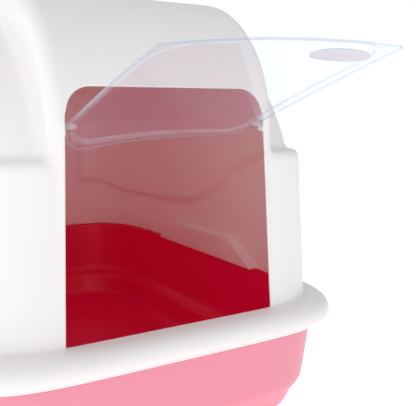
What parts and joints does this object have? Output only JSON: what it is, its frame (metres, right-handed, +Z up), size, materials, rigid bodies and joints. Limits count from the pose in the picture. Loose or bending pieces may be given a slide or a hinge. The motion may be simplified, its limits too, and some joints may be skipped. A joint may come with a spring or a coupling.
{
  "type": "hooded cat litter box",
  "caption": "Hooded cat litter box: a deep plastic tray under a domed hood with a clear swing door, side clips, a fold-flat carry handle and a filter vent.",
  "frame": {"origin": "centre of the tray's flat underside, on the floor", "axes": "+Z up, -Y towards the doorway at the front, +X to the right as seen from the front"},
  "size_m": [0.3998, 0.6874, 0.4],
  "materials": {
    "tray_plastic": "light pink moulded polypropylene, satin gloss",
    "hood_plastic": "white moulded polypropylene, satin gloss",
    "clear_plastic": "clear moulded sheet, polished",
    "frosted_plastic": "frosted grey, matte",
    "accent_plastic": "light pink moulded polypropylene, satin gloss",
    "pin_plastic": "natural nylon, matte",
    "filter_felt": "activated charcoal felt"
  },
  "bodies": {
    "tray": {"base_tray": "tray_plastic"},
    "hood": {"hood_shell": "hood_plastic", "hinge_boss_left": "hood_plastic", "hinge_boss_right": "hood_plastic", "clip_pin_left": "pin_plastic", "clip_pin_right": "pin_plastic", "clip_lugs_left": "hood_plastic", "clip_lugs_right": "hood_plastic", "handle_pin_left": "pin_plastic", "handle_pin_right": "pin_plastic", "handle_lugs": "hood_plastic", "filter_cover_pins": "pin_plastic", "filter_lugs": "hood_plastic", "filter_pad": "filter_felt"},
    "door": {"door_flap": "clear_plastic", "door_pin_left": "clear_plastic", "door_pin_right": "clear_plastic", "door_push_pad": "frosted_plastic"},
    "clip_left": {"side_clip_left": "accent_plastic"},
    "clip_right": {"side_clip_right": "accent_plastic"},
    "handle": {"carry_handle": "accent_plastic"},
    "vent_cover": {"filter_cover": "accent_plastic"}
  },
  "joints": [
    {"name": "hood_lift", "type": "slide", "parent": "tray", "child": "hood", "axis": [0, 0, 1], "range_m": [0, 0.3]},
    {"name": "door_swing", "type": "hinge", "parent": "hood", "child": "door", "pos_m": [0, -0.2485, 0.284], "axis": [1, 0, 0], "range_deg": [-12, 168]},
    {"name": "clip_right_swing", "type": "hinge", "parent": "hood", "child": "clip_right", "pos_m": [0.1865, -0.014, 0.121], "axis": [0, -1, 0], "range_deg": [0, 75]},
    {"name": "clip_left_swing", "type": "hinge", "parent": "hood", "child": "clip_left", "pos_m": [-0.1865, -0.014, 0.121], "axis": [0, 1, 0], "range_deg": [0, 75]},
    {"name": "handle_fold", "type": "hinge", "parent": "hood", "child": "handle", "pos_m": [0, -0.017, 0.392], "axis": [-1, 0, 0], "range_deg": [0, 95]},
    {"name": "vent_cover_swing", "type": "hinge", "parent": "hood", "child": "vent_cover", "pos_m": [0, 0.1105, 0.396], "axis": [-1, 0, 0], "range_deg": [0, 100]}
  ]
}
